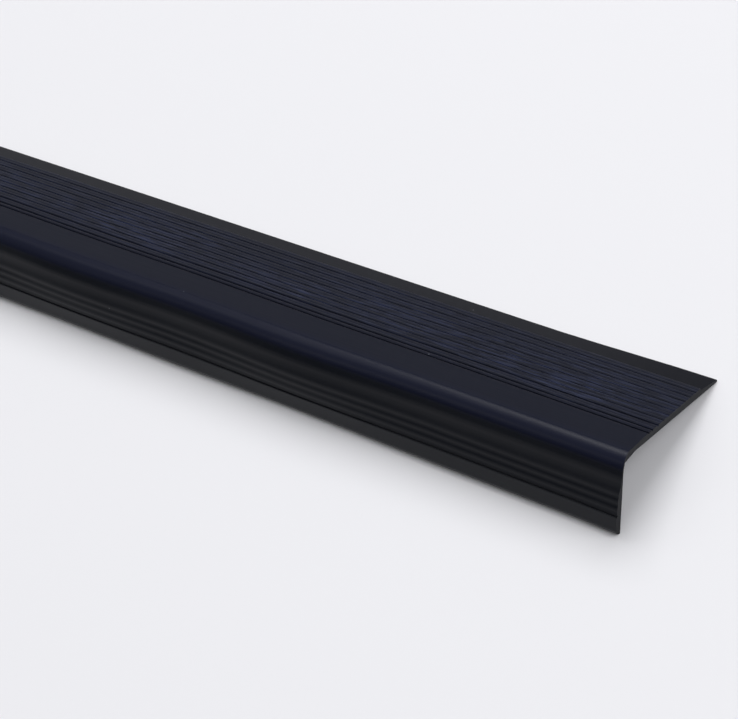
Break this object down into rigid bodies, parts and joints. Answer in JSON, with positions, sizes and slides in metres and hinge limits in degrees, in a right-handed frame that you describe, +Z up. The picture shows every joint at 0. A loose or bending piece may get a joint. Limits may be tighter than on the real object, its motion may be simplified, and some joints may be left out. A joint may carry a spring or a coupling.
{
  "type": "stair nosing",
  "caption": "L-shaped extruded strip of soft black PVC that caps the front edge of a step, with a ribbed tread leg, a round nose and a fluted riser leg.",
  "frame": {"origin": "on the floor, under the middle of the strip's outline", "axes": "+X along the strip, +Y from the nose towards the rear edge of the tread leg, +Z up, with the strip lying on the free edges of its two legs"},
  "size_m": [1, 0.0544, 0.022],
  "materials": {
    "black_pvc": "satin black flexible PVC, as extruded"
  },
  "bodies": {
    "root": {"nosing_strip": "black_pvc"}
  },
  "joints": []
}
